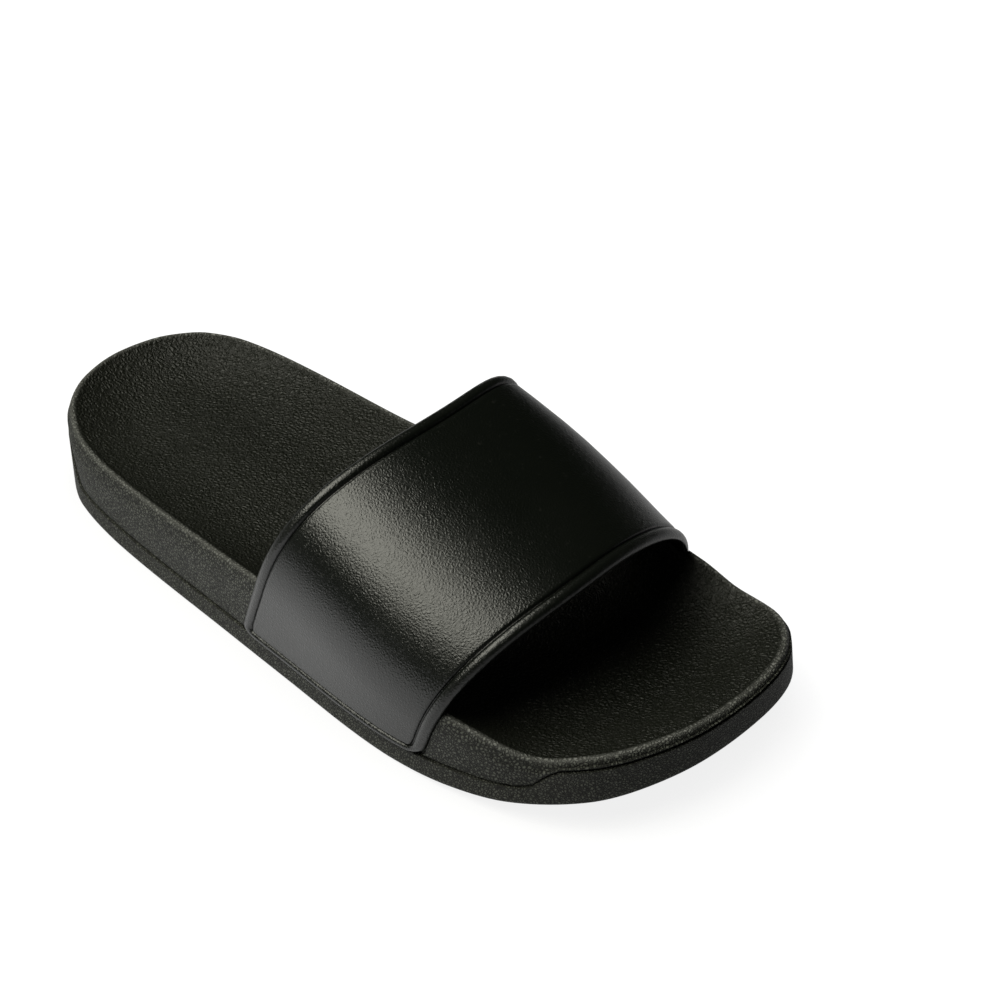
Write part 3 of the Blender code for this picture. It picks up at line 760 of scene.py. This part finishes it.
# Strap
strapShape = {
    "proud": 0.0016,
    "edgeBead": 0.0046,
    "footBead": 0.0028,
    "corner": 0.0075,
    "crownBack": 0.0768,
    "crownFront": 0.0578,
    "footLift": 0.0005,
    "recessDrop": 0.0015,              # how far the seat in the midsole runs out below the foot
    "recessReach": 0.004,              # over this height above the outsole's side
    "girthSteps": 64,
    "widthSteps": 20,
    # outer side, inner side: places of foot and crown along the shoe, crown's shift,
    # spring line, arch power, sweep
    "backEdge": {
        1: (0.447, 0.557, -0.265, 0.388, 2.70, 1.05),
        -1: (0.482, 0.557, -0.265, 0.388, 3.80, 0.80),
    },
    "frontEdge": {
        1: (0.750, 0.827, 0.030, 0.350, 2.15, 1.20),
        -1: (0.762, 0.827, 0.030, 0.350, 2.05, 0.45),
    },
    # bead from the edge inwards: distance in mm, outer height in mm, inner height in mm
    "beadProfile": (
        (0.00, -1.40, -1.40), (0.10, -0.98, -1.82), (0.38, -0.50, -2.28), (0.82, -0.08, -2.62),
        (1.35, 0.24, -2.78), (1.95, 0.42, -2.80), (2.50, 0.46, -2.80), (3.05, 0.40, -2.80),
        (3.52, 0.22, -2.80), (3.90, -0.08, -2.80), (4.18, -0.48, -2.80), (4.40, -0.82, -2.80),
        (4.62, -0.82, -2.80), (4.82, -0.42, -2.80), (5.10, -0.12, -2.80), (5.60, 0.00, -2.80),
        (6.30, 0.00, -2.80),
    ),
    "finish": {
        # this finish paints a slight highlight onto the pebble tops and bead crests, the latter also standing
        # for wear, and slight shade into the creases
        "dark": (0.0018, 0.0028, 0.0016), "light": (0.0024, 0.0034, 0.0020), "creaseShadeTone": (0.001, 0.0014, 0.0009),
        "wornSheen": (0.03, 0.03, 0.028), "dustTone": (0.06, 0.06, 0.055),
        "domeHighlight": (0.0024, 0.0034, 0.0020), "domeHighlightAmount": 0.5,
        "cloudCells": 22.0, "dust": 0.2, "pebbleCells": 920.0, "wander": 0.8, "small": 0.35,
        "creaseShade": 0.1,
        "skinCells": 1700.0, "rubSheenTone": 0.1, "rough": 0.293, "roughSwing": 0.02,
        "creaseRough": 0.03, "rubGloss": 0.0,
        "pebbleRelief": 0.00007, "skinRelief": 0.00003,
        "shader": {"Specular IOR Level": 0.5, "Metallic": 0.0},
    },
}


def sideRun(side):
    steps = sole["sideSteps"]
    places = ringPlaces[1:steps] if side > 0 else ringPlaces[:steps:-1]
    return [place.y for place in places], [place.x for place in places]


sideRuns = {side: sideRun(side) for side in (1, -1)}


def besideSole(y, side):
    # place of the strap's outer surface beside the sole
    places, reaches = sideRuns[side]
    above = min(max(bisect_right(places, y), 1), len(places) - 1)
    share = (y - places[above - 1]) / (places[above] - places[above - 1])
    return mix(reaches[above - 1], reaches[above], share) + side * strapShape["proud"]


def sideShape(across, side):
    pairs = zip(strapShape["backEdge"][side], strapShape["frontEdge"][side])
    return [mix(back, front, across) for back, front in pairs]


@lru_cache(maxsize=None)
def archSection(across, side):
    # half of a section from foot to crown: run along the girth, sideways share, height
    foot, crown, shift, spring, power, sweep = sideShape(across, side)
    top = mix(strapShape["crownBack"], strapShape["crownFront"], across)
    footY = sole["length"] * foot
    low = treadHeight(footY) + sideStep(foot) + strapShape["footLift"]
    straight = top * spring
    reach = abs(besideSole(footY, side) - shift * sole["halfWidth"])
    straightSteps = 4
    archSteps = 96
    stations = [(1.0, mix(low, straight, i / straightSteps)) for i in range(straightSteps)]
    for i in range(archSteps + 1):
        angle = math.pi / 2 * i / archSteps
        sideways = max(math.cos(angle), 0.0) ** (2 / power)
        stations.append((sideways, mix(straight, top, math.sin(angle) ** (2 / power))))
    run = 0.0
    rows = [(run, *stations[0])]
    for before, after in zip(stations, stations[1:]):
        run += math.hypot((after[0] - before[0]) * reach, after[1] - before[1])
        rows.append((run, *after))
    return rows, [row[0] for row in rows]


@lru_cache(maxsize=None)
def girthAt(across):
    return archSection(across, 1)[0][-1][0] + archSection(across, -1)[0][-1][0]


def strapPlace(run, across):
    # place on the strap's outer surface, a run along its girth from the outer foot
    side = 1 if run <= archSection(across, 1)[0][-1][0] else -1
    rows, runs = archSection(across, side)
    fromFoot = run if side > 0 else girthAt(across) - run
    foot, crown, shift, spring, power, sweep = sideShape(across, side)
    span = min(max(bisect_right(runs, fromFoot), 1), len(rows) - 1) - 1
    below, above = rows[span], rows[span + 1]
    share = (fromFoot - below[0]) / (above[0] - below[0])
    sideways = min(mix(below[1], above[1], share), 1.0)
    rise = min(max(fromFoot / rows[-1][0], 0.0), 1.0)
    y = sole["length"] * mix(foot, crown, math.sin(math.pi / 2 * rise) ** sweep)
    centre = shift * sole["halfWidth"]
    return Vector((centre + (besideSole(y, side) - centre) * sideways, y, mix(below[2], above[2], share)))


def strapOutward(run, across):
    step = 0.0008
    girthwise = strapPlace(run + step, across) - strapPlace(run - step, across)
    share = 0.01
    over = strapPlace(run, across + share) - strapPlace(run, across - share)
    return over.cross(girthwise).normalized()


def strapSpan(runShare):
    back = strapPlace(runShare * girthAt(0.0), 0.0)
    front = strapPlace(runShare * girthAt(1.0), 1.0)
    return (front - back).length


def bandStations(total, steps):
    # distances over a band: through one bead, evenly over, through the other
    near = [row[0] / 1000 for row in strapShape["beadProfile"]]
    between = total - 2 * near[-1]
    middle = [near[-1] + between * i / steps for i in range(1, steps)]
    return near + middle + [total - distance for distance in reversed(near)]


def turnCorner(inwards, upwards):
    # bends a corner's square grid into a round one; both are distances from the edges
    corner = strapShape["corner"]
    left = corner - inwards
    down = corner - upwards
    if left <= 0 or down <= 0:
        return inwards, upwards
    scale = max(left, down) / math.hypot(left, down)
    return corner - left * scale, corner - down * scale


def strapStations():
    # run, share across, bead row for each row and column of the strap's grid
    shape = strapShape
    beadRows = len(shape["beadProfile"])
    rowCount = 2 * beadRows + shape["girthSteps"] - 1
    columnCount = 2 * beadRows + shape["widthSteps"] - 1
    footScale = shape["edgeBead"] / shape["footBead"]
    meanTotal = girthAt(0.5) * footScale
    widths = [strapSpan(run / meanTotal) for run in bandStations(meanTotal, shape["girthSteps"])]
    columnsOver = [bandStations(width, shape["widthSteps"]) for width in widths]
    totals = [girthAt(columnsOver[0][column] / widths[0]) * footScale for column in range(columnCount)]
    runs = [bandStations(total, shape["girthSteps"]) for total in totals]
    grid = []
    for row in range(rowCount):
        line = []
        for column in range(columnCount):
            total = totals[column]
            width = widths[row]
            run = runs[column][row]
            inwards = columnsOver[row][column]
            side, foot = turnCorner(min(inwards, width - inwards), min(run, total - run))
            run = foot if run <= total / 2 else total - foot
            across = (side if inwards <= width / 2 else width - side) / width
            bead = min(row, rowCount - 1 - row, column, columnCount - 1 - column, beadRows - 1)
            line.append((run / total * girthAt(across), across, bead))
        grid.append(line)
    return grid


def layGrid(bm, stations, normals, heightAt):
    # a grid from the operator, each vertex laid on the strap
    rowCount = len(stations)
    columnCount = len(stations[0])
    verts = bmesh.ops.create_grid(bm, x_segments=columnCount - 1, y_segments=rowCount - 1, size=0.05)["verts"]
    ordered = sorted(verts, key=lambda vert: (round(vert.co.y, 6), round(vert.co.x, 6)))
    lines = [ordered[row * columnCount:(row + 1) * columnCount] for row in range(rowCount)]
    for row, line in enumerate(lines):
        for column, vert in enumerate(line):
            place, outward = normals[row][column]
            vert.co = place + outward * heightAt(stations[row][column][2])
    return lines


def makeStrapShell(stations, beaded):
    normals = [
        [(strapPlace(run, across), strapOutward(run, across)) for run, across, bead in line]
        for line in stations
    ]
    profile = strapShape["beadProfile"]
    crest = max(row[1] for row in profile)
    plain = [min(row[1], 0.0) if index < len(profile) // 2 else 0.0 for index, row in enumerate(profile)]
    bm = bmesh.new()
    rubSheen = bm.verts.layers.float.new("rubSheen")
    outer = layGrid(bm, stations, normals, lambda bead: (profile[bead][1] if beaded else plain[bead]) / 1000)
    layGrid(bm, stations, normals, lambda bead: profile[bead][2] / 1000)
    # the bead crests get the rub mask: the finish paints a slight highlight there, which also stands for wear
    for row, line in enumerate(outer):
        for column, vert in enumerate(line):
            vert[rubSheen] = max(profile[stations[row][column][2]][1] / crest, 0.0)
    bmesh.ops.remove_doubles(bm, verts=bm.verts, dist=1e-6)
    bmesh.ops.recalc_face_normals(bm, faces=bm.faces)
    bm.normal_update()
    return bm


def makeStrap(stations):
    bm = makeStrapShell(stations, True)
    return finishPiece("strapBody", bm, [makeFinish("satin band", strapShape["finish"])])


def cutStrapRecess(midsole, stations):
    # takes the strap's seat out of the midsole's side, one gap wider than the strap
    bm = makeStrapShell(stations, False)
    gap = midsoleShape["seatGap"]
    reach = outsoleShape["sideHeight"] + strapShape["recessReach"]
    for vert, move in [(vert, vert.normal * gap) for vert in bm.verts]:
        vert.co += move
    for vert in bm.verts:
        if vert.co.z < treadHeight(vert.co.y) + reach:
            vert.co.z -= strapShape["recessDrop"]
    cutter = finishPiece("recessTool", bm, [])
    cut = midsole.modifiers.new("recess", "BOOLEAN")
    cut.operation = "DIFFERENCE"
    cut.solver = "EXACT"
    cut.object = cutter
    bakeModifiers(midsole)
    bpy.data.objects.remove(cutter)


sharpAngle = math.radians(50)
stations = strapStations()
outsole = makeOutsole()
print("outsole:", len(outsole.data.polygons), "faces")
midsole = makeMidsole()
cutStrapRecess(midsole, stations)
print("midsole:", len(midsole.data.polygons), "faces")
strap = makeStrap(stations)
print("strap:", len(strap.data.polygons), "faces")

for piece, node in ((outsole, "outsole"), (midsole, "midsole"), (strap, "strap")):
    piece.data.set_sharp_from_angle(angle=sharpAngle)
    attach(piece, "root")
    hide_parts(node)


# Floor, light and camera
studio = {
    "floorSize": 3.0,
    "floorTone": (0.10, 0.10, 0.10),
    "floorGlow": 1.0,
    "contactReach": 0.036,             # soft shade where the sole comes near the floor
    "contactShade": 0.82,
    "contactStart": 0.5,
    "contactSamples": 4,
    "poolPlace": (0.25, -0.01, 0.0),   # the floor lights the shoe most from beside its outer side
    "poolStretch": (0.4, 1.0, 0.0),
    "poolReach": 0.22,
    "poolGlow": 1.35,
    "edgeGlow": 0.40,
    "seenGlow": 1.04,                  # the floor as the camera sees it
    "floorRough": 0.9,
    "worldTone": (0.020, 0.022, 0.020),
    "backTone": (1.0, 1.0, 1.0),       # what the camera sees beyond the floor
    # place, aim, width, height, power in watts
    "lamps": {
        "keyBox": ((0.46, -0.386, 1.04), (0.0, 0.0, 0.05), 1.20, 0.70, 17.0),
    },
    "lampTone": (1.0, 0.99, 0.87),
    "cameraPlace": (0.36785, 0.3836, 0.4630),
    "cameraAim": (-0.06055, -0.0034, 0.0),
    "lens": 74.8,
}


def makeFloor():
    bm = bmesh.new()
    bmesh.ops.create_grid(bm, x_segments=1, y_segments=1, size=studio["floorSize"])
    mesh = bpy.data.meshes.new("floor")
    bm.to_mesh(mesh)
    bm.free()
    material = bpy.data.materials.new("pale floor")
    material.use_nodes = True
    shader = material.node_tree.nodes["Principled BSDF"]
    shader.inputs["Base Color"].default_value = (*studio["floorTone"], 1.0)
    shader.inputs["Roughness"].default_value = studio["floorRough"]
    shader.inputs["Specular IOR Level"].default_value = 0.0
    tree = material.node_tree
    place = addNode(tree, "ShaderNodeTexCoord").outputs["Object"]
    away = vectorMaths(tree, "SUBTRACT", {0: place, 1: studio["poolPlace"]})
    squeezed = vectorMaths(tree, "MULTIPLY", {0: away.outputs["Vector"], 1: studio["poolStretch"]})
    reach = vectorMaths(tree, "LENGTH", {0: squeezed.outputs["Vector"]}).outputs["Value"]
    pool = mapped(tree, reach, 0.0, studio["poolReach"], studio["poolGlow"], studio["edgeGlow"])
    seen = addNode(tree, "ShaderNodeLightPath").outputs["Is Camera Ray"]
    level = addNode(tree, "ShaderNodeMix", {"data_type": "FLOAT"}, {
        "Factor": seen, "A": pool, "B": studio["seenGlow"]}).outputs[0]
    nearby = addNode(tree, "ShaderNodeAmbientOcclusion", {"samples": studio["contactSamples"]}, {
        "Distance": studio["contactReach"]}).outputs["AO"]
    shade = mapped(tree, nearby, studio["contactStart"], 1.0, studio["contactShade"], 1.0, False)
    glow = maths(tree, "MULTIPLY", level, shade)
    tree.links.new(glow, shader.inputs["Emission Color"])
    shader.inputs["Emission Strength"].default_value = studio["floorGlow"]
    mesh.materials.append(material)
    floor = bpy.data.objects.new("floor", mesh)
    bpy.context.scene.collection.objects.link(floor)


def makeLamp(name, place, aim, width, height, power):
    lamp = bpy.data.lights.new(name, "AREA")
    lamp.shape = "RECTANGLE"
    lamp.size = width
    lamp.size_y = height
    lamp.energy = power
    lamp.color = studio["lampTone"]
    item = bpy.data.objects.new(name, lamp)
    item.location = place
    item.rotation_euler = (Vector(aim) - Vector(place)).to_track_quat("-Z", "Y").to_euler()
    bpy.context.scene.collection.objects.link(item)


def makeWorld():
    world = bpy.data.worlds.new("studio")
    world.use_nodes = True
    sky = world.node_tree.nodes["Background"]
    seen = addNode(world.node_tree, "ShaderNodeLightPath").outputs["Is Camera Ray"]
    tone = mixColours(world.node_tree, seen, studio["worldTone"], studio["backTone"])
    world.node_tree.links.new(tone, sky.inputs["Color"])
    sky.inputs["Strength"].default_value = 1.0
    bpy.context.scene.world = world


def makeCamera():
    lens = bpy.data.cameras.new("camera")
    lens.sensor_width = 36.0
    lens.lens = studio["lens"]
    lens.clip_start = 0.01
    lens.clip_end = 20.0
    camera = bpy.data.objects.new("camera", lens)
    camera.location = studio["cameraPlace"]
    gaze = Vector(studio["cameraAim"]) - Vector(studio["cameraPlace"])
    camera.rotation_euler = gaze.to_track_quat("-Z", "Y").to_euler()
    bpy.context.scene.collection.objects.link(camera)
    bpy.context.scene.camera = camera


makeFloor()
for name, values in studio["lamps"].items():
    makeLamp(name, *values)
makeWorld()
makeCamera()
bpy.context.scene.view_settings.view_transform = "Standard"
print("studio set")
